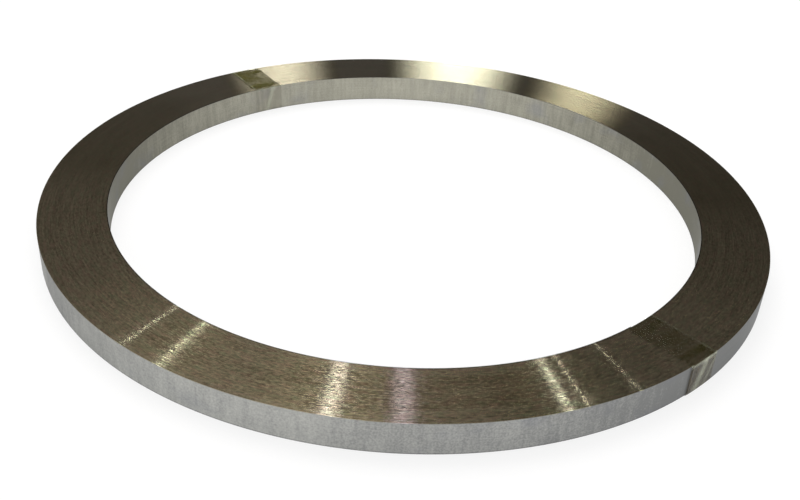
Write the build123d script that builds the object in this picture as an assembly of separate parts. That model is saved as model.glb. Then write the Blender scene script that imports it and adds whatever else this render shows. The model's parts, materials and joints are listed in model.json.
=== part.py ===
from build123d import *
from math import ceil, cos, radians, sin
import os

os.makedirs("parts", exist_ok=True)

# A slit stainless band, wound flat into a ring that lies on its slit edges.
# Millimetres, +Z up. The origin is on the bore's axis, on the floor under the ring.

# The band
bore_diameter = 400.0    # left by the mandrel that the band was wound on
band_width = 20.0        # the slit width, so also the height of the ring
band_thickness = 0.5
turn_count = 88

# The seams between turns, as they show on both ends of the ring
turns_per_land = 10      # turns that lie flush and read as one flat land
seam_width = 0.7
seam_depth = 0.4

# The two ends of the band, seen from above
tail_angle = -49.0       # where the outermost turn stops
inner_end_angle = -46.0  # where the innermost turn starts
climb_angle = 12.0       # the second turn climbs over the inner end along this arc

# Clear tape, one loop round the ring's section at each place
tape_width = 24.0
tape_thickness = 0.1
tape_angles = {"tape_wrap_front": -46.6, "tape_wrap_rear": 126.5}
lap_length = 34.0        # the tape's end, lapped over its start on the top face
lap_skew = {"tape_wrap_front": 2.0, "tape_wrap_rear": -2.5}

bore_radius = bore_diameter / 2
build_up = turn_count * band_thickness
outer_radius = bore_radius + build_up
mid_radius = bore_radius + build_up / 2
land_pitch = turns_per_land * band_thickness
seam_count = ceil(turn_count / turns_per_land) - 1
seam_radii = [bore_radius + (seam + 1) * land_pitch for seam in range(seam_count)]
underside = tape_thickness              # the ring lies on the tape that runs under it
mid_height = underside + band_width / 2
top_face = underside + band_width


def polar(radius, angle):
    """A point on the floor, at a radius from the bore's axis and an angle in degrees."""
    return Vector(radius * cos(radians(angle)), radius * sin(radians(angle)))


def outer_outline():
    """Half a true circle, then half of one set off centre, so the wall sinks by one turn."""
    far_side = tail_angle + 180
    sinking_centre = polar(band_thickness / 2, far_side)
    sinking_radius = outer_radius - band_thickness / 2
    return make_face([
        CenterArc((0, 0), outer_radius, tail_angle, 180),
        CenterArc(sinking_centre, sinking_radius, far_side, 180),
        Line(polar(outer_radius - band_thickness, tail_angle), polar(outer_radius, tail_angle)),
    ])


def bore_outline():
    """The mandrel's circle, with the wedge-shaped gap where the second turn climbs."""
    gap_end = inner_end_angle + climb_angle
    behind_end = polar(bore_radius + band_thickness, inner_end_angle)
    return make_face([
        CenterArc((0, 0), bore_radius, gap_end, 360 - climb_angle),
        Line(polar(bore_radius, inner_end_angle), behind_end),
        TangentArc(polar(bore_radius, gap_end), behind_end, tangent=polar(1, gap_end - 90)),
    ])


def wound_section():
    """The turns in section: a V at each seam, above and below, and a turn to spare at each wall."""
    half = seam_width / 2
    lower = [(bore_radius - band_thickness, underside)]
    for radius in seam_radii:
        lower += [(radius - half, underside), (radius, underside + seam_depth), (radius + half, underside)]
    lower.append((outer_radius + band_thickness, underside))
    upper = [(radius, 2 * mid_height - height) for radius, height in reversed(lower)]
    return make_face(Polyline(lower + upper, close=True))


def make_coil():
    """The wound band: one turned ring with its seams, trimmed to its outer wall and its bore."""
    turned = revolve(Plane.XZ * wound_section(), axis=Axis.Z)
    plan = outer_outline() - bore_outline()
    return turned & extrude(plan, amount=2 * mid_height)


def tape_section():
    """The tape in section: a thin frame round the ring's own rectangle."""
    outside = Rectangle(build_up + 2 * tape_thickness, band_width + 2 * tape_thickness)
    inside = Rectangle(build_up, band_width)
    return Pos(mid_radius, mid_height) * (outside - inside)


def make_tape(angle, skew):
    """One loop of tape, parallel-edged, with its lapped end as a second ply on top."""
    span = 20
    loop = Rot(0, 0, -span / 2) * revolve(Plane.XZ * tape_section(), axis=Axis.Z, revolution_arc=span)
    strip = Pos(mid_radius, 0, mid_height) * Box(2 * build_up, tape_width, 2 * band_width)
    ply_height = top_face + 1.5 * tape_thickness
    ply = Pos(mid_radius, 0, ply_height) * Rot(0, 0, skew) * Box(lap_length, tape_width, tape_thickness)
    return Rot(0, 0, angle) * ((loop & strip) + ply)


export_step(make_coil(), "parts/band_coil.step")
for name, angle in tape_angles.items():
    export_step(make_tape(angle, lap_skew[name]), f"parts/{name}.step")
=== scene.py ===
# %% [markdown]
# # A coil of stainless band, dressed for its picture
# The real object is one long, thin band of steel, slit to width and wound flat like a roll of
# ribbon, with a loop of clear tape at two places that keeps the turns from springing open.
# A CAD model already holds its size and its place. This lesson loads that model as a fixed frame
# and makes what an eye or a camera finds on it: the turns on the ring's face, the sheen of the
# rolled walls, the thin film of the tape, and a pale studio round it all.

import json
from math import atan2, cos, degrees, exp, hypot, pi, radians, sin, sqrt, tau

import bmesh
import bpy
from mathutils import Matrix, Vector, noise


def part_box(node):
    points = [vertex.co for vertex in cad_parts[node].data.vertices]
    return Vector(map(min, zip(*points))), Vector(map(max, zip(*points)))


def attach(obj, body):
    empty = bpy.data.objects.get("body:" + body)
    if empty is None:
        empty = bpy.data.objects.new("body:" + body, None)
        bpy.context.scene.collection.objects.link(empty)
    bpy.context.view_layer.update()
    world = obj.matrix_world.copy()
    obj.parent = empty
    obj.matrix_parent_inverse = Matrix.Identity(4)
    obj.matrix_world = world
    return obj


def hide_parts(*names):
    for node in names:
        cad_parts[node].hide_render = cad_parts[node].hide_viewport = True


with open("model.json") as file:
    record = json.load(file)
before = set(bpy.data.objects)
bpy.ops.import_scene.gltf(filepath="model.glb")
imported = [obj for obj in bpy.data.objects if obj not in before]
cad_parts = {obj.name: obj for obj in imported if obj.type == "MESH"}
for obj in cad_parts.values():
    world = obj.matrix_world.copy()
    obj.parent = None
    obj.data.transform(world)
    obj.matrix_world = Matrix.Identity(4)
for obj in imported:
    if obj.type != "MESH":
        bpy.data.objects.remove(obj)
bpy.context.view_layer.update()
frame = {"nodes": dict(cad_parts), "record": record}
print("CAD nodes:", sorted(frame["nodes"]))

# %% [markdown]
# ## Sizes
# Blender works in metres here. The bore's radius is in the CAD record, as the place where a
# mandrel goes in, and the height comes from the coil's own box. The band's thickness is the one
# size that has to be said again. Everything else about the winding follows from these.
# The band winds inwards from its tail, by one thickness in each full turn, so a straight cut
# through the ring meets one turn fewer than the build-up would hold. A round wall made of flat
# facets lies a trace inside a true circle, so the outer wall is eased in by a hair, which keeps it
# within the CAD model's own facets.

# %% Sizes of the winding
MM = 0.001
band_thickness = 0.5 * MM
tail_angle = radians(-49.0)

coil_low, coil_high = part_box("band_coil")
bore_radius = frame["record"]["mounts"][0]["dims"]["r_mm"] * MM
ring_bottom = coil_low.z
ring_top = coil_high.z
turns_cut = round((coil_high.x - bore_radius) / band_thickness) - 1
inner_start = bore_radius + band_thickness
wall_ease = 0.02 * MM
outer_start = inner_start + turns_cut * band_thickness - wall_ease
middle_radius = (inner_start + outer_start) / 2


def wound_in(angle):
    """How far the band has moved inwards, at an angle run through from its tail."""
    return band_thickness * angle / tau


def past_tail(angle):
    """The angle from the tail to a direction, the way in which the band winds inwards."""
    return (angle - tail_angle) % tau


print("turns in a cut:", turns_cut, "outer radius in mm:", round(outer_start / MM, 3))

# %% [markdown]
# ## The wound band
# On each end of the ring one sees the slit edges of all the turns, packed side by side. Each edge
# is a low rounded rib with a fine groove beside it. Those ribs are why the face shines in narrow
# streaks: every rib is a curved mirror that runs round the ring. A bump map could fake them, but
# then a close view and the exported mesh would be flat, so here they are real ribs.
# The mesh starts as a wire round the ring's section. Its two long edges are divided so that every
# turn gets a groove and a crest, and a spin sweeps the wire once round the axis. A slitter's knife
# rolls one corner of the strip over and leaves the other one sharp. So a crest sits near the outer
# groove: its long side leans to the bore by a few degrees, and its short side leans steeply out.

# %% A wire round the section
groove_depth = 0.06 * MM
crest_shift = 0.3 * band_thickness


def section_wire():
    """A rectangle in section, with a groove and a crest for each turn along both ends."""
    wire = bmesh.new()
    corners = [
        wire.verts.new((radius, 0, height))
        for radius, height in (
            (inner_start, ring_bottom), (outer_start, ring_bottom),
            (outer_start, ring_top), (inner_start, ring_top),
        )
    ]
    for corner, following in zip(corners, corners[1:] + corners[:1]):
        wire.edges.new((corner, following))
    wall_height = ring_top - ring_bottom
    ends = [edge for edge in wire.edges if edge.calc_length() > 1.5 * wall_height]
    bmesh.ops.subdivide_edges(wire, edges=ends, cuts=2 * turns_cut - 1)
    return wire


wire = section_wire()
print("points round the section:", len(wire.verts))

# %% [markdown]
# ## From rings to one spiral
# A spin gives closed rings, but the real band is one spiral. The spin is therefore left unmerged.
# Every point then moves inwards in step with its angle, by one thickness over the full turn. The
# last section lands on the first, one turn further in, so the doubles can be merged, and what
# stays open are the band's two free ends. Those are filled.

# %% Sweep the wire and wind it in
sweep_steps = 256
turn_slip = 0.03 * MM
group_slip = 0.02 * MM
steady_turns = 4
weld_distance = 0.01 * MM


def slip_noise(start, turn, angle, per_turn, around):
    """A noise that changes from turn to turn at one rate, and round the ring at another."""
    return noise.noise(Vector((turn * per_turn + start, around * cos(angle), around * sin(angle))))


def edge_sag(turn, angle):
    """How far a turn's edge lies below the face: single turns slip in winding, and groups do too."""
    single = slip_noise(0, turn, angle, per_turn=0.83, around=1.6)
    group = slip_noise(50, turn, angle, per_turn=0.30, around=2)
    from_wall = min(turn, turns_cut - turn) / steady_turns
    sag = turn_slip * min(1, max(0, 0.5 + single)) + group_slip * min(1, max(0, 0.5 + group))
    return sag * min(1, max(0, from_wall))


def wind(coil, last_section):
    """Moves each point of the swept rings onto the spiral, and sinks the grooves."""
    grooves = set()
    for vert in coil.verts:
        angle = tau if vert in last_section else atan2(vert.co.y, vert.co.x) % tau
        radius = hypot(vert.co.x, vert.co.y)
        half_turns = round(2 * (radius - inner_start) / band_thickness)
        turn = half_turns / 2 - angle / tau
        on_top = vert.co.z > (ring_top + ring_bottom) / 2
        sink = edge_sag(turn, angle)
        new_radius = radius - wound_in(angle)
        if half_turns % 2 == 0:
            grooves.add(vert)
            sink += groove_depth
        else:
            new_radius += crest_shift
        vert.co.z += -sink if on_top else sink
        vert.co.x *= new_radius / radius
        vert.co.y *= new_radius / radius
    return grooves


def make_coil():
    """The whole winding as one closed mesh."""
    coil = section_wire()
    swept = bmesh.ops.spin(
        coil, geom=coil.verts[:] + coil.edges[:], cent=(0, 0, 0), axis=(0, 0, 1),
        angle=tau, steps=sweep_steps, use_merge=False,
    )
    last_section = {item for item in swept["geom_last"] if isinstance(item, bmesh.types.BMVert)}
    grooves = wind(coil, last_section)
    # A groove's own line stays a sharp crease. The edges between grooves and crests are shaded round.
    creased = [
        edge for edge in coil.edges
        if edge.verts[0] in grooves and edge.verts[1] in grooves
        and abs(edge.verts[0].co.z - edge.verts[1].co.z) < groove_depth
    ]
    for edge in creased:
        edge.smooth = False
    bmesh.ops.remove_doubles(coil, verts=coil.verts, dist=weld_distance)
    open_edges = [edge for edge in coil.edges if edge.is_boundary]
    bmesh.ops.holes_fill(coil, edges=open_edges, sides=0)
    for edge in open_edges:
        edge.smooth = False
    bmesh.ops.rotate(coil, verts=coil.verts, cent=(0, 0, 0), matrix=Matrix.Rotation(tail_angle, 3, "Z"))
    bmesh.ops.recalc_face_normals(coil, faces=coil.faces)
    return coil


coil = make_coil()
left_open = sum(edge.is_boundary for edge in coil.edges)
print("coil faces:", len(coil.faces), "open edges:", left_open, "volume in cm3:", coil.calc_volume() * 1e6)

# %% [markdown]
# ## From a bmesh to an object
# A bmesh is a workbench. Its result is written into a mesh, and an object shows that mesh in the
# scene. Two finishes meet on this one piece. The ends of the ring are slit edges and the walls are
# rolled sheet, so each face gets its slot by the way it looks: up or down is an edge, sideways is
# a wall.

# %% Put the coil in the scene
EDGE_SLOT, WALL_SLOT = 0, 1
# A face whose normal points up or down by more than this share lies on an end of the ring.
LEVEL_ENOUGH = 0.5


def place(mesh_in_work, name, node_name):
    """Turns a finished bmesh into an object that stands for a CAD node and rides with it."""
    data = bpy.data.meshes.new(name)
    mesh_in_work.to_mesh(data)
    mesh_in_work.free()
    piece = bpy.data.objects.new(name, data)
    bpy.context.scene.collection.objects.link(piece)
    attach(piece, "root")
    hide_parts(node_name)
    return piece


for face in coil.faces:
    face.smooth = True
    face.material_index = EDGE_SLOT if abs(face.normal.z) > LEVEL_ENOUGH else WALL_SLOT
wound_band = place(coil, "wound_band", "band_coil")
print("wound band:", len(wound_band.data.polygons), "faces")

# %% [markdown]
# ## The clear tape
# Each loop of tape goes round the ring's section once and laps over its own start on top. The film
# is a twentieth of a millimetre thick, so it shows by what it does to the steel under it: it dulls
# the sheen, tints it a little, and has painted glints along its own wrinkles.
# Its places, its width and its lap are those of the CAD model. The gap keeps the film just clear
# of the ribs under it.

# %% Sizes of the tape
tape_width = 24 * MM
film = 0.05 * MM
film_gap = 0.03 * MM
film_corner = 0.3 * MM
tape_places = {"tape_wrap_front": radians(-46.6), "tape_wrap_rear": radians(126.5)}
lap_length = 34 * MM
lap_grip = 4 * MM
lap_skew = {"tape_wrap_front": radians(2.0), "tape_wrap_rear": radians(-2.5)}
tape_steps = 24
RIM_ANGLE = radians(50)
print("tape width in mm:", round(tape_width / MM, 2))
for name, place_angle in tape_places.items():
    print(name, "at", round(degrees(place_angle), 2), "degrees")

# %% [markdown]
# ## The loop of tape
# A real loop of tape is one strip, pressed on by hand. It could be a cloth simulation or a curve
# with a width, but a strip round four corners is simple enough to build in the way it is wrapped.
# The loop starts as one flat face in section, whose corners are rounded with a bevel. Its outline
# is pushed sideways in steps to the tape's width and bent to the ring. A few slanting folds are
# lifted out of it, and last it gets its thickness. The lapped end is a strip of its own on top.
# The loop stays open under the lap but for a few millimetres of grip at either side. Nobody sees
# the gap, and the steel shows better through one ply of film than through two.

# %% Shape a loop of tape
side_cuts = 23
shortest_side = 5 * MM
fold_margin = 0.05
lap_rise = 3 * film_gap + 2 * film


def tape_outline(angle):
    """The tape's line in section at an angle: round the winding, but open where the lap closes it."""
    inwards = wound_in(past_tail(angle))
    reach = film_gap + film
    section = bmesh.new()
    corners = [
        section.verts.new((radius, 0, height))
        for radius, height in (
            (inner_start - inwards - reach, ring_bottom - reach),
            (outer_start - inwards + reach, ring_bottom - reach),
            (outer_start - inwards + reach, ring_top + reach),
            (inner_start - inwards - reach, ring_top + reach),
        )
    ]
    section.faces.new(corners)
    bmesh.ops.bevel(
        section, geom=section.verts[:], affect="VERTICES", offset=film_corner,
        segments=3, profile=0.5, material=-1,
    )
    bmesh.ops.delete(section, geom=section.faces[:], context="FACES_ONLY")
    long_edges = [edge for edge in section.edges if edge.calc_length() > shortest_side]
    bmesh.ops.subdivide_edges(section, edges=long_edges, cuts=side_cuts)
    half_open = lap_length / 2 - lap_grip
    under_lap = [
        edge for edge in section.edges
        if all(vert.co.z > ring_top and abs(vert.co.x - middle_radius) < half_open for vert in edge.verts)
    ]
    bmesh.ops.delete(section, geom=under_lap, context="EDGES")
    return section


def push_to_width(strip):
    """Pushes an outline sideways, step by step, to the tape's width, half to each side."""
    bmesh.ops.translate(strip, verts=strip.verts, vec=(0, -tape_width / 2, 0))
    front = strip.edges[:]
    for _ in range(tape_steps):
        grown = bmesh.ops.extrude_edge_only(strip, edges=front)["geom"]
        fresh = [item for item in grown if isinstance(item, bmesh.types.BMVert)]
        bmesh.ops.translate(strip, verts=fresh, vec=(0, tape_width / tape_steps, 0))
        front = [
            item for item in grown
            if isinstance(item, bmesh.types.BMEdge) and all(vert in fresh for vert in item.verts)
        ]


def bend_to_ring(strip):
    """Curves a straight strip to the ring: a point keeps its radius at every sideways step."""
    for vert in strip.verts:
        vert.co.x = sqrt(vert.co.x ** 2 - vert.co.y ** 2)


def wrinkle(strip, folds):
    """Lifts narrow slanting folds in the film where it crosses the outer wall and the bore."""
    for vert in strip.verts:
        radius = hypot(vert.co.x, vert.co.y)
        share = (vert.co.z - ring_bottom) / (ring_top - ring_bottom)
        if not fold_margin < share < 1 - fold_margin:
            continue
        outside = radius > middle_radius
        lift = 0
        for fold in folds:
            if fold["outside"] != outside:
                continue
            off_line = (vert.co.y - fold["at"] - fold["slant"] * (share - 0.5)) / fold["width"]
            lift += fold["height"] * exp(-off_line ** 2) * sin(pi * share)
        grow = 1 + (lift if outside else -lift) / radius
        vert.co.x *= grow
        vert.co.y *= grow


def lap_strip(skew):
    """The tape's far end, lapped over its start on top and a little askew."""
    lap = bmesh.new()
    bmesh.ops.create_grid(lap, x_segments=tape_steps, y_segments=tape_steps, size=0.5)
    bmesh.ops.scale(lap, verts=lap.verts, vec=(lap_length, tape_width, 1))
    bmesh.ops.rotate(lap, verts=lap.verts, cent=(0, 0, 0), matrix=Matrix.Rotation(skew, 3, "Z"))
    bmesh.ops.translate(lap, verts=lap.verts, vec=(middle_radius, 0, ring_top + lap_rise))
    return lap


def thicken(strip):
    """Gives an open film its thickness, away from its normals, so that it is closed."""
    bmesh.ops.recalc_face_normals(strip, faces=strip.faces)
    bmesh.ops.solidify(strip, geom=strip.faces[:], thickness=film)


def make_tape(name, folds):
    """One loop with its lapped end, turned to its place on the ring."""
    angle = tape_places[name]
    loop = tape_outline(angle)
    push_to_width(loop)
    bend_to_ring(loop)
    wrinkle(loop, folds)
    thicken(loop)
    lap = lap_strip(lap_skew[name])
    thicken(lap)
    lap_data = bpy.data.meshes.new("lap")
    lap.to_mesh(lap_data)
    lap.free()
    loop.from_mesh(lap_data)
    bpy.data.meshes.remove(lap_data)
    bmesh.ops.rotate(loop, verts=loop.verts, cent=(0, 0, 0), matrix=Matrix.Rotation(angle, 3, "Z"))
    bmesh.ops.recalc_face_normals(loop, faces=loop.faces)
    for face in loop.faces:
        face.smooth = True
    for edge in loop.edges:
        edge.smooth = edge.calc_face_angle(0) < RIM_ANGLE
    left_open = sum(edge.is_boundary for edge in loop.edges)
    print(name, "open edges:", left_open, "volume in cm3:", round(loop.calc_volume() * 1e6, 3))
    return place(loop, name.replace("wrap", "film"), name)


# %% [markdown]
# ## Two loops on the ring
# The front loop holds the band's tail down. It has two folds on the outer wall, beside the step
# that the tail makes there. The rear loop only keeps the turns together, and has one fold in the
# bore. A fold is a low rounded wave whose line slants from the lower rim to the upper one.

# %% Wrap the ring at both places
front_folds = [
    dict(outside=True, at=-6 * MM, slant=9 * MM, width=0.8 * MM, height=0.35 * MM),
    dict(outside=True, at=3 * MM, slant=-7 * MM, width=0.7 * MM, height=0.3 * MM),
]
rear_folds = [
    dict(outside=False, at=-2 * MM, slant=7 * MM, width=1.0 * MM, height=0.35 * MM),
]
front_tape = make_tape("tape_wrap_front", front_folds)
rear_tape = make_tape("tape_wrap_rear", rear_folds)
print("tape faces:", len(front_tape.data.polygons), len(rear_tape.data.polygons))

# %% [markdown]
# ## Shader maths that reads like arithmetic
# A material in Blender is a graph of nodes. Written out link by link it is hard to read, so one
# small class wraps a socket: adding or multiplying two of them adds the Math node behind it. One
# method makes every other node from its type, its settings and its inputs.

# %% A socket that can be added and multiplied


class Signal:
    """One output socket of a shader tree."""

    def __init__(self, tree, socket):
        self.tree = tree
        self.socket = socket

    def maths(self, operation, *values):
        """The Math node of an operation, with its values in their order."""
        return self.tree.node("ShaderNodeMath", {"operation": operation}, dict(enumerate(values)))

    def __add__(self, other):
        return self.maths("ADD", self, other)

    def __sub__(self, other):
        return self.maths("SUBTRACT", self, other)

    def __rsub__(self, other):
        return self.maths("SUBTRACT", other, self)

    def __mul__(self, other):
        return self.maths("MULTIPLY", self, other)

    def __truediv__(self, other):
        return self.maths("DIVIDE", self, other)

    def __pow__(self, other):
        return self.maths("POWER", self, other)

    __radd__ = __add__
    __rmul__ = __mul__


class ShaderTree:
    """A material's or the world's nodes, made one at a time."""

    def __init__(self, owner):
        owner.use_nodes = True
        self.nodes = owner.node_tree.nodes
        self.links = owner.node_tree.links
        self.nodes.clear()

    def node(self, kind, settings=None, inputs=None, output=0):
        """Any node from its type, its settings and its inputs; gives back one of its outputs."""
        made = self.nodes.new(kind)
        for name, value in (settings or {}).items():
            if name == "stops":
                self.set_stops(made.color_ramp, value)
            else:
                setattr(made, name, value)
        for name, value in (inputs or {}).items():
            if isinstance(value, Signal):
                self.links.new(value.socket, made.inputs[name])
            else:
                made.inputs[name].default_value = value
        return Signal(self, made.outputs[output]) if len(made.outputs) else made

    def set_stops(self, ramp, stops):
        """Puts a ramp's stops in place: (position, level) pairs, level being a grey."""
        while len(ramp.elements) < len(stops):
            ramp.elements.new(1)
        for element, (position, level) in zip(ramp.elements, stops):
            element.position = position
            element.color = (level, level, level, 1)

    def ramp(self, signal, stops):
        """A level that follows a signal through (position, level) stops."""
        return self.node("ShaderNodeValToRGB", {"stops": stops}, {"Fac": signal})

    def blend(self, factor, first, second):
        """A colour between two others."""
        return self.node(
            "ShaderNodeMix", {"data_type": "RGBA", "clamp_factor": True},
            {0: factor, 6: first, 7: second}, output=2,
        )


# %% [markdown]
# ## Patterns that follow the band
# Marks on wound strip run along the strip, so on this ring they run round the axis. The object's
# own coordinates are turned into a count of turns from the bore and a direction from the axis. The
# count follows the spiral, so a line that begins on a turn stays on it all the way round. A noise
# that changes fast with the count and slowly with the direction gives lines that run round the
# ring, fade and start again.

# %% Noise stretched along the band


def ring_coordinates(tree):
    """Turns counted from the bore, the share of the height, and a point's direction from the axis."""
    position = tree.node("ShaderNodeTexCoord", output="Object")
    split = tree.node("ShaderNodeSeparateXYZ", inputs={"Vector": position})
    node = split.socket.node
    x, y, z = (Signal(tree, node.outputs[axis]) for axis in "XYZ")
    radius = (x * x + y * y) ** 0.5
    round_ring = (x.maths("ARCTAN2", y, x) - tail_angle) / tau
    turn = (radius - inner_start) / band_thickness + x.maths("FRACT", round_ring)
    height = (z - ring_bottom) / (ring_top - ring_bottom)
    return turn, height, (x / radius, y / radius)


def noise_at(tree, level, direction, around, detail):
    """A noise from 0 to 1 that changes with a level, and at a rate of its own round the ring."""
    east, north = direction
    vector = tree.node(
        "ShaderNodeCombineXYZ", inputs={"X": level, "Y": east * around, "Z": north * around},
    )
    return tree.node(
        "ShaderNodeTexNoise", {"noise_dimensions": "3D"},
        {"Vector": vector, "Scale": 1.0, "Detail": detail, "Roughness": 0.5},
    )


# %% [markdown]
# ## The slit edges
# A slitter's knives leave a narrow edge that is part burnished and part torn, with a film of oil in
# the grooves. All together they read as a dark olive metal with fine lines. It mirrors light
# sharply round the ring and softly across it, and that is what Anisotropic is for: the tangent runs
# round the ring by itself, and a quarter of a turn sets the wide direction across the ribs.
# Where the burnish is better the roughness is lower. That breaks a streak of light into short
# dashes, because each turn answers the lamp a little more or less than the next one.
# The marks in the colour are strongest on the near side of the ring and die away to the far side:
# that is a painted glint, the texture the lamps draw on the near ribs. The same share makes the near
# side's roughness more uneven, as if that side had been handled more. The two sides between them are
# painted darker and browner, a painted shade for the darker surroundings that they mirror. The
# outermost turn has a pale rim, a painted sheen on its outer corner, and the innermost ones a dark rim.

# %% Finish of the slit edges
EDGE_DARK = (0.024, 0.019, 0.012, 1)
EDGE_LIGHT = (0.080, 0.067, 0.045, 1)
EDGE_RED = (0.070, 0.045, 0.034, 1)
EDGE_GREEN = (0.046, 0.050, 0.030, 1)
# Painted shade of the two sides of the face.
EDGE_SIDE_SHADE = (0.020, 0.015, 0.006, 1)
# Painted sheen of the outer rim.
RIM_PAINTED_SHEEN = (0.075, 0.062, 0.040, 1)
RIM_DARK = (0.012, 0.011, 0.010, 1)


def slit_edge_finish():
    """Dark, oily metal with fine lines that run along the band."""
    material = bpy.data.materials.new("slit_edge_steel")
    tree = ShaderTree(material)
    turn, _, direction = ring_coordinates(tree)
    east, north = direction
    out_from_bore = turn / turns_cut
    to_far_side = north * 0.5 + 0.5
    # Near-side share: in the colour it paints glints on the near ribs, in the roughness it is wear.
    near_glints_and_wear = (1 - to_far_side) ** 2
    dashes = noise_at(tree, turn * 0.5, direction, around=80, detail=2) - 0.5
    turn_lines = noise_at(tree, turn * 0.6, direction, around=9, detail=1)
    broad_rings = noise_at(tree, turn * 0.05, (east + 1.5, north), around=2, detail=1)
    # The dashes' contrast is raised on the near side: a painted glint.
    lightness = dashes * (near_glints_and_wear * 1.3 + 0.6) + turn_lines * 0.8 + broad_rings * 0.3 - 0.01
    colour = tree.blend(lightness, EDGE_DARK, EDGE_LIGHT)
    tints = noise_at(tree, turn * 0.25 + 20, direction, around=35, detail=2)
    colour = tree.blend(tree.ramp(tints, [(0.50, 0), (0.72, 0.4)]), colour, EDGE_RED)
    colour = tree.blend(tree.ramp(tints, [(0.28, 0.4), (0.48, 0)]), colour, EDGE_GREEN)
    # Painted shade: the two sides of the face are darkened and browned.
    painted_side_shade = tree.ramp(to_far_side, [(0.42, 0), (0.52, 0.35), (0.75, 0.35), (0.82, 0)])
    colour = tree.blend(painted_side_shade, colour, EDGE_SIDE_SHADE)
    # Painted sheen along the outermost turn.
    colour = tree.blend(tree.ramp(out_from_bore, [(0.984, 0), (0.993, 1)]), colour, RIM_PAINTED_SHEEN)
    colour = tree.blend(tree.ramp(out_from_bore, [(0.006, 1), (0.018, 0)]), colour, RIM_DARK)
    burnish = noise_at(tree, turn * 0.55 + 9, direction, around=50, detail=2)
    torn = tree.ramp(burnish, [(0.40, 1), (0.58, 0)])
    roughness = torn * near_glints_and_wear * 0.20 + 0.06
    shader = tree.node("ShaderNodeBsdfPrincipled", inputs={
        "Base Color": colour, "Metallic": 1.0, "Roughness": roughness,
        "Specular Tint": (0.5, 0.5, 0.5, 1), "Anisotropic": 1.0, "Anisotropic Rotation": 0.25,
    })
    tree.node("ShaderNodeOutputMaterial", inputs={"Surface": shader})
    return material


slit_edge_steel = slit_edge_finish()
print("slit edges:", len(slit_edge_steel.node_tree.nodes), "nodes")

# %% [markdown]
# ## The rolled walls
# The faces of the strip are cold rolled: an even, silky grey with a faint grain along the band and
# soft clouds where the rolls and the handling left their marks. Outside, the wall is a cool grey.
# Inside the bore it has picked up a trace of oil and looks warmer. The tone of both walls drifts
# slowly with the direction from the axis, and two ramps from left to right darken a few broad
# stretches a little more: both are painted light and shade, for the brighter and darker surroundings
# that the walls mirror. Along both rims the wall has a dark line as fine as the strip is thick,
# stronger along the bottom rim.

# %% Finish of the rolled faces
OUTSIDE_DARK = (0.235, 0.238, 0.235, 1)
OUTSIDE_LIGHT = (0.55, 0.55, 0.515, 1)
BORE_DARK = (0.20, 0.195, 0.16, 1)
BORE_LIGHT = (0.53, 0.515, 0.43, 1)
STAIN = (0.20, 0.21, 0.25, 1)
WALL_RIM = (0.05, 0.05, 0.055, 1)


def rolled_face_finish():
    """Silky grey sheet, cooler outside and warmer in the bore."""
    material = bpy.data.materials.new("rolled_face_steel")
    tree = ShaderTree(material)
    turn, height, direction = ring_coordinates(tree)
    east, north = direction
    clouds = noise_at(tree, height * 1.2, direction, around=14, detail=3)
    uprights = noise_at(tree, height * 0.8, direction, around=80, detail=2)
    rolling = noise_at(tree, height * 30, direction, around=6, detail=2)
    grain = noise_at(tree, height * 18, direction, around=220, detail=2)
    outside = turn.maths("GREATER_THAN", turn, turns_cut / 2)
    speckle = grain * (outside * 0.4 + 0.5)
    # Painted light and shade: the walls' tone drifts with the direction from the axis, and two ramps
    # darken broad stretches more.
    outside_painted_light = north * -0.94 - east * 0.34 - 0.95
    bore_painted_light = north * 0.75 - east * 0.12 - 0.58
    to_right_side = east * 0.5 + 0.5
    outside_painted_shade = tree.ramp(to_right_side, [(0.415, 0), (0.485, 0.17), (0.75, 0.06), (0.885, 0.18)])
    bore_painted_shade = tree.ramp(to_right_side, [(0.07, 0.18), (0.42, 0.13), (0.50, 0.02), (0.67, 0.09)])
    painted_light_drift = outside * (outside_painted_light - outside_painted_shade) + (1 - outside) * (bore_painted_light - bore_painted_shade)
    lightness = clouds * 0.4 + uprights * 0.5 + rolling * 0.3 + speckle + painted_light_drift - outside * 0.2 - 0.38
    dark = tree.blend(outside, BORE_DARK, OUTSIDE_DARK)
    light = tree.blend(outside, BORE_LIGHT, OUTSIDE_LIGHT)
    colour = tree.blend(lightness, dark, light)
    stains = noise_at(tree, height * 0.9 + 4, direction, around=8, detail=3)
    colour = tree.blend(tree.ramp(stains, [(0.55, 0), (0.75, 0.35)]), colour, STAIN)
    rims = tree.ramp(height, [(0.0, 0.6), (0.03, 0.2), (0.05, 0), (0.98, 0), (1.0, 0.4)])
    colour = tree.blend(rims, colour, WALL_RIM)
    roughness = rolling * 0.12 + clouds * 0.08 + 0.3
    bump = tree.node("ShaderNodeBump", inputs={
        "Strength": 0.08, "Distance": 0.2 * MM, "Height": grain + rolling,
    })
    shader = tree.node("ShaderNodeBsdfPrincipled", inputs={
        "Base Color": colour, "Metallic": 1.0, "Roughness": roughness, "Normal": bump,
        "Specular Tint": (0.6, 0.6, 0.6, 1), "Anisotropic": 0.4,
    })
    tree.node("ShaderNodeOutputMaterial", inputs={"Surface": shader})
    return material


rolled_face_steel = rolled_face_finish()
wound_band.data.materials.append(slit_edge_steel)
wound_band.data.materials.append(rolled_face_steel)
print("rolled faces:", len(rolled_face_steel.node_tree.nodes), "nodes")

# %% [markdown]
# ## The clear film
# Packing tape is a glossy film with a layer of yellowish glue. Most of what one sees is the steel
# through it. A low Alpha lets the steel and its light through, which costs far less than real
# refraction. On the ring's faces the film bridges the grooves with air under it, so there it hides
# more of the sheen, in stripes that follow the turns. Along each crease a pale slanting line is
# painted in, a painted glint of light off the fold, and the film on the walls gets a faint painted
# glint near their top rim. One material serves both loops. It tells them apart by the angle past
# the band's tail: the front loop is clearer on the face, and the rear loop hides more there and has
# the yellower glue. The film's own gloss is turned far down, lower than a real film's.

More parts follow.
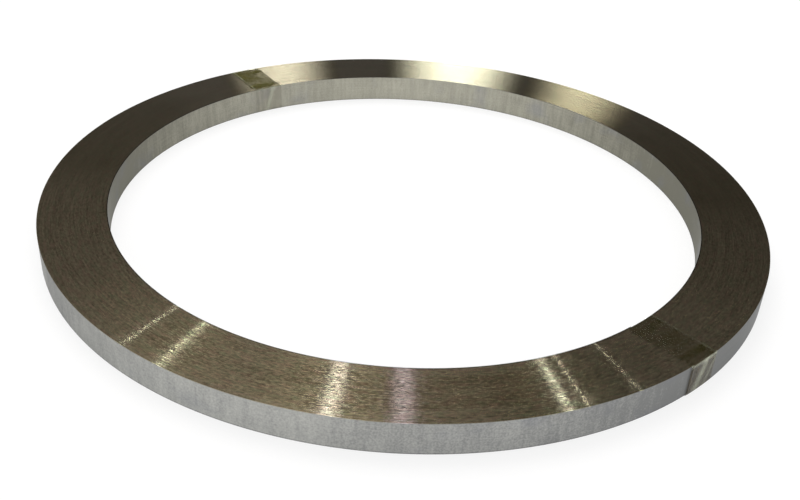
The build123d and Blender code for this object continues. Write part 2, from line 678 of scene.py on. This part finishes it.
# %% Finish of the tape
FILM_ON_ENDS = (0.030, 0.026, 0.006, 1)
GLUE_ON_ENDS = (0.080, 0.072, 0.008, 1)
FILM_ON_WALLS = (0.11, 0.085, 0.045, 1)
CREASE_GLINT_COLOUR = (0.62, 0.64, 0.50, 1)
FILM_IOR = 1.47
FILM_GLOSS = 0.03
FILM_ROUGHNESS = 0.06
# The angle is counted from this share of a turn before the tail, so it jumps clear of both loops.
SEAM_BEFORE_TAIL = 0.1
wall_creases = [
    dict(at=2.2, slant=1.6, width=1.6, glint_level=0.07),
    dict(at=4.4, slant=2.2, width=1.0, glint_level=0.05),
    dict(at=175.0, slant=-1.6, width=1.2, glint_level=0.12),
]
end_creases = [
    dict(at=5.2, slant=-0.6, width=0.4, glint_level=0.012),
    dict(at=178.3, slant=-0.6, width=0.25, glint_level=0.035),
]


def crease_glints(creases, degrees_past, along):
    """How strong the painted glint is along the film's creases; places are in degrees past the tail."""
    lines = 0
    for crease in creases:
        off_line = (degrees_past - crease["at"] - (along - 0.5) * crease["slant"]) / crease["width"]
        lines = off_line.maths("EXPONENT", off_line * off_line * -4) * crease["glint_level"] + lines
    return lines


def film_finish():
    """Glossy film that lets most of the steel's light through."""
    material = bpy.data.materials.new("clear_tape_film")
    tree = ShaderTree(material)
    turn, height, direction = ring_coordinates(tree)
    east, north = direction
    bubbles = noise_at(tree, turn * 0.13 + height * 5, direction, around=60, detail=3)
    streaky = noise_at(tree, turn * 0.11, direction, around=12, detail=1)
    stripes = tree.ramp(streaky, [(0.42, 0.28), (0.58, 0.60)])
    past = (east.maths("ARCTAN2", north, east) - tail_angle) / tau
    turns_past = past.maths("FRACT", past + SEAM_BEFORE_TAIL) - SEAM_BEFORE_TAIL
    degrees_past = turns_past * 360
    cover = tree.ramp(turns_past, [(0.0, 0.25), (0.01, 0.4), (0.3, 0.4), (0.4, 1)])
    out_from_bore = turn / turns_cut
    on_ends = tree.ramp(out_from_bore, [(0.0, 0), (0.01, 1), (0.99, 1), (1.0, 0)])
    on_walls = tree.ramp(out_from_bore, [(0.4, 0.06), (0.6, 0.22)]) + bubbles * 0.08 - 0.04
    # Painted glint near the top rim of the walls.
    corner = tree.ramp(height, [(0.88, 0), (0.95, 0.06)])
    wall_glints = (crease_glints(wall_creases, degrees_past, height) + corner) * (1 - on_ends)
    rear = tree.ramp(turns_past, [(0.3, 0), (0.4, 1)])
    glue = tree.blend(rear, FILM_ON_ENDS, GLUE_ON_ENDS)
    painted_glints = wall_glints + crease_glints(end_creases, degrees_past, out_from_bore) * on_ends
    alpha = on_walls * (1 - on_ends) + on_ends * stripes * cover + painted_glints
    # The glints are painted in: a pale colour and more alpha along the creases.
    colour = tree.blend(painted_glints * 10, tree.blend(on_ends, FILM_ON_WALLS, glue), CREASE_GLINT_COLOUR)
    shader = tree.node("ShaderNodeBsdfPrincipled", inputs={
        "Base Color": colour, "Roughness": FILM_ROUGHNESS,
        "IOR": FILM_IOR, "Specular IOR Level": FILM_GLOSS, "Alpha": alpha,
    })
    tree.node("ShaderNodeOutputMaterial", inputs={"Surface": shader})
    return material


clear_film = film_finish()
for tape in (front_tape, rear_tape):
    tape.data.materials.append(clear_film)
print("film:", len(clear_film.node_tree.nodes), "nodes")

# %% [markdown]
# ## The camera
# The view looks down on the ring from the front, a little rolled. The lens is to the sensor's width
# as its focal length in pixels is to the picture's width in pixels. The camera comes before the
# lamps, because a metal shows its lamps like a mirror does, and where they have to hang is worked
# out from where the camera stands.

# %% The camera
camera_elevation = radians(31.69)
camera_roll = radians(3.40)
camera_distance = 0.7015
camera_aim = Vector((-0.0016, -0.0140, -0.0227))
focal_pixels = 994
picture_pixels = 800
SENSOR = 36

camera_data = bpy.data.cameras.new("camera")
camera_data.sensor_width = SENSOR
camera_data.lens = SENSOR * focal_pixels / picture_pixels
camera = bpy.data.objects.new("camera", camera_data)
bpy.context.scene.collection.objects.link(camera)
turned = Matrix.Rotation(pi / 2 - camera_elevation, 4, "X") @ Matrix.Rotation(camera_roll, 4, "Z")
backwards = turned.to_3x3() @ Vector((0, 0, 1))
camera.matrix_world = Matrix.Translation(camera_aim + camera_distance * backwards) @ turned
bpy.context.scene.camera = camera
bpy.context.scene.view_settings.view_transform = "Standard"
print("camera at:", [round(x, 4) for x in camera.matrix_world.translation])

# %% [markdown]
# ## The floor
# The coil lies on a pale floor. To the camera, to mirrors and to glass it is nearly white by
# itself, and the rest of it is an ordinary matt floor, which keeps the shadow under the ring.

# %% A pale floor
FLOOR_SIZE = 40
FLOOR_GLOW = 0.75
FLOOR_GREY = (0.9, 0.9, 0.9, 1)
WHITE = (1, 1, 1, 1)


def seen_directly(tree):
    """1 for a ray from the camera, off a gloss or through glass, and 0 for a diffuse one."""
    paths = tree.node("ShaderNodeLightPath", output="Is Camera Ray").socket.node
    from_camera, off_gloss, through_glass = (
        Signal(tree, paths.outputs[name])
        for name in ("Is Camera Ray", "Is Glossy Ray", "Is Transmission Ray")
    )
    either = from_camera.maths("MAXIMUM", from_camera, off_gloss)
    return either.maths("MAXIMUM", either, through_glass)


def floor_finish():
    """Matt to diffuse rays, and nearly a plain white to all others."""
    material = bpy.data.materials.new("pale_floor")
    tree = ShaderTree(material)
    matt = tree.node("ShaderNodeBsdfDiffuse", inputs={"Color": FLOOR_GREY})
    white = tree.node("ShaderNodeEmission", inputs={"Color": WHITE, "Strength": 1.0})
    glow = seen_directly(tree) * FLOOR_GLOW
    shader = tree.node("ShaderNodeMixShader", inputs={0: glow, 1: matt, 2: white})
    tree.node("ShaderNodeOutputMaterial", inputs={"Surface": shader})
    return material


floor_mesh = bmesh.new()
bmesh.ops.create_grid(floor_mesh, x_segments=1, y_segments=1, size=FLOOR_SIZE / 2)
floor_data = bpy.data.meshes.new("floor")
floor_mesh.to_mesh(floor_data)
floor_mesh.free()
floor = bpy.data.objects.new("floor", floor_data)
bpy.context.scene.collection.objects.link(floor)
floor.data.materials.append(floor_finish())
print("floor side in m:", FLOOR_SIZE)

# %% [markdown]
# ## The world
# A pale dome gives the metal something to mirror. It is darker to the right, so that the two sides
# of the ring differ, and brighter from about 25 degrees up, because the ring's left and right sides
# mirror that part. The matt floor gets an even light from it.

# %% A pale dome
DOME_LEVEL = 0.85
DOME_SLOPE = 0.5
MATT_LEVEL = 1.0


def studio_world():
    """Sets the scene's world to the dome."""
    world = bpy.data.worlds.new("studio")
    bpy.context.scene.world = world
    tree = ShaderTree(world)
    direction = tree.node("ShaderNodeTexCoord", output="Generated")
    split = tree.node("ShaderNodeSeparateXYZ", inputs={"Vector": direction}).socket.node
    to_right, upwards = (Signal(tree, split.outputs[axis]) for axis in "XZ")
    overhead = tree.ramp(upwards, [(0.42, 0), (0.60, 0.38)])
    mirrored_level = DOME_LEVEL - to_right * DOME_SLOPE + overhead
    seen = seen_directly(tree)
    level = seen * mirrored_level + (1 - seen) * MATT_LEVEL
    dome = tree.node("ShaderNodeBackground", inputs={"Color": WHITE, "Strength": level})
    tree.node("ShaderNodeOutputWorld", inputs={"Surface": dome})


studio_world()
print("world nodes:", len(bpy.context.scene.world.node_tree.nodes))

# %% [markdown]
# ## Where a lamp has to hang
# A rib shows a lamp where it mirrors the camera's line of sight onto it. So each lamp is placed
# backwards. At a chosen place on the ring, a rib's side with a chosen lean sends the line of sight
# off in one direction, and the lamp hangs there. The ribs lean by anything from 8 degrees towards
# the bore to 31 degrees outwards. A lamp that is as long as several degrees of lean makes a streak
# on every rib across the face. Near the steepest lean only some ribs answer, and the streak breaks
# up into dots. A lamp's width is a share of the ring.

# %% Place a lamp by its reflection


def lamp_spot(azimuth, lean, distance):
    """The point that a rib's side shows to the camera, at an azimuth and with a lean in degrees."""
    outwards = Vector((cos(radians(azimuth)), sin(radians(azimuth)), 0))
    on_ring = outwards * middle_radius + Vector((0, 0, ring_top))
    to_camera = (camera.matrix_world.translation - on_ring).normalized()
    side = outwards * sin(radians(lean)) + Vector((0, 0, cos(radians(lean))))
    return on_ring + distance * (2 * side.dot(to_camera) * side - to_camera)


def lamp_frame(azimuth, spread, leans, distance):
    """A lamp's matrix, width and length, from the part of the ring in which it has to show."""
    least_lean, most_lean = leans
    mean_lean = (least_lean + most_lean) / 2
    one_side = lamp_spot(azimuth - spread / 2, mean_lean, distance)
    other_side = lamp_spot(azimuth + spread / 2, mean_lean, distance)
    width = (other_side - one_side).length
    along = lamp_spot(azimuth, most_lean, distance) - lamp_spot(azimuth, least_lean, distance)
    centre = lamp_spot(azimuth, mean_lean, distance)
    facing = centre.normalized()
    long_side = (along - along.dot(facing) * facing).normalized()
    wide_side = long_side.cross(facing)
    axes = Matrix((wide_side, long_side, facing)).transposed().to_4x4()
    return Matrix.Translation(centre) @ axes, width, along.length


print("a lamp for the nearest rib hangs at:", [round(x, 2) for x in lamp_spot(-90, 20, 3)])

# %% [markdown]
# ## Streak lamps
# Five narrow lamps hang high above the coil, two to its left and three to its right. The near half
# of the face shows each one as a thin bright streak that runs out from the bore. They aren't seen
# by matt surfaces, so the floor keeps its even light. Each row gives the middle and the width of
# the streak in degrees round the ring, the leans that answer it, its radiance and its colour.

# %% Narrow lamps
STREAK_DISTANCE = 3.2
streaks = {
    "thin_left": (-127.6, 0.4, (26, 31), 200, (0.80, 0.95, 1.0)),
    "left": (-121.2, 0.5, (27, 32), 120, (0.85, 1.0, 1.0)),
    "right": (-68.1, 0.5, (27, 32), 120, (0.80, 0.95, 1.0)),
    "thin_right": (-65.6, 0.35, (26, 31), 260, (0.85, 0.97, 1.0)),
    "far_right": (-57.9, 0.3, (27, 32), 150, (0.85, 0.97, 1.0)),
}


def streak_lamp(name, azimuth, spread, leans, radiance, colour):
    """A narrow area lamp of a given brightness to the eye."""
    matrix, width, length = lamp_frame(azimuth, spread, leans, STREAK_DISTANCE)
    data = bpy.data.lights.new(name, "AREA")
    data.shape = "RECTANGLE"
    data.size = width
    data.size_y = length
    data.energy = radiance * pi * width * length
    data.color = colour
    light = bpy.data.objects.new(name, data)
    light.matrix_world = matrix
    light.visible_diffuse = False
    bpy.context.scene.collection.objects.link(light)


for name, values in streaks.items():
    streak_lamp(name, *values)
print("streak lamps:", len(streaks))

# %% [markdown]
# ## Glowing panels
# Broad lights need soft edges, or the metal shows where they stop. A panel is a plane that glows
# brightest along its middle and fades to the dome's own level at both sides. It adds that level
# because it hides the dome behind it, and a nearer panel hides a farther one as well.
# Three low windows stand far behind the coil and light the far half of the face. Four narrow
# panels hang high: two make the streaks in the middle, and two back the left and right lamps.
# Three faint halos behind them give the streaks their soft skirts. One broad panel, above and
# behind, lights the near half, and it is the only one that matt surfaces see. The rows are those
# of the streak lamps, with the distance in metres before the radiance. The broad panel's last
# number is its softness.

# %% Panels with soft sides
panels = {
    "window_left": (120.3, 26, (3, 8), 8.0, 30, (1.0, 1.0, 0.84)),
    "window_middle": (80.0, 32, (3, 8), 8.2, 54, (0.96, 1.0, 0.84)),
    "window_right": (50.5, 26, (3, 8), 8.4, 26, (1.0, 1.0, 0.76)),
    "streak_left": (-121.0, 2.4, (18, 28), 3.3, 50, (0.85, 1.0, 1.0)),
    "streak_wide": (-98.0, 3.6, (17, 27), 3.3, 112, (0.78, 0.86, 1.0)),
    "streak_rosy": (-88.9, 4.4, (17, 27), 3.3, 50, (0.63, 0.62, 1.0)),
    "streak_right": (-68.2, 2.0, (18, 28), 3.3, 78, (0.80, 0.95, 1.0)),
    "halo_left": (-121.0, 18, (20, 28), 3.6, 3, (0.97, 1.0, 0.75)),
    "halo_middle": (-98.0, 28, (17, 27), 3.6, 8, (0.97, 1.0, 0.84)),
    "halo_right": (-69.0, 18, (20, 28), 3.6, 3, (0.97, 1.0, 0.75)),
    "soft_top": (-104.0, 170, (2, 19), 4.0, 3.8, (1.0, 0.98, 0.95), 1),
}


def panel_glow(name, width, radiance, colour, softness):
    """A glow that falls off to both sides like a cosine, raised to the softness."""
    material = bpy.data.materials.new(name)
    tree = ShaderTree(material)
    position = tree.node("ShaderNodeTexCoord", output="Object")
    x = tree.node("ShaderNodeSeparateXYZ", inputs={"Vector": position})
    bell = x.maths("COSINE", x * (pi / width)) ** softness
    level = bell * radiance + DOME_LEVEL
    glow = tree.node("ShaderNodeEmission", inputs={"Color": (*colour, 1), "Strength": level})
    tree.node("ShaderNodeOutputMaterial", inputs={"Surface": glow})
    return material


def glowing_panel(name, azimuth, spread, leans, distance, radiance, colour, softness=2):
    """A plane that faces the coil and glows along its middle."""
    matrix, width, length = lamp_frame(azimuth, spread, leans, distance)
    plane = bmesh.new()
    bmesh.ops.create_grid(plane, x_segments=1, y_segments=1, size=0.5)
    bmesh.ops.scale(plane, verts=plane.verts, vec=(width, length, 1))
    data = bpy.data.meshes.new(name)
    plane.to_mesh(data)
    plane.free()
    panel = bpy.data.objects.new(name, data)
    panel.matrix_world = matrix
    bpy.context.scene.collection.objects.link(panel)
    data.materials.append(panel_glow(name, width, radiance, colour, softness))
    panel.visible_diffuse = name == "soft_top"


for name, values in panels.items():
    glowing_panel(name, *values)
print("panels:", len(panels))
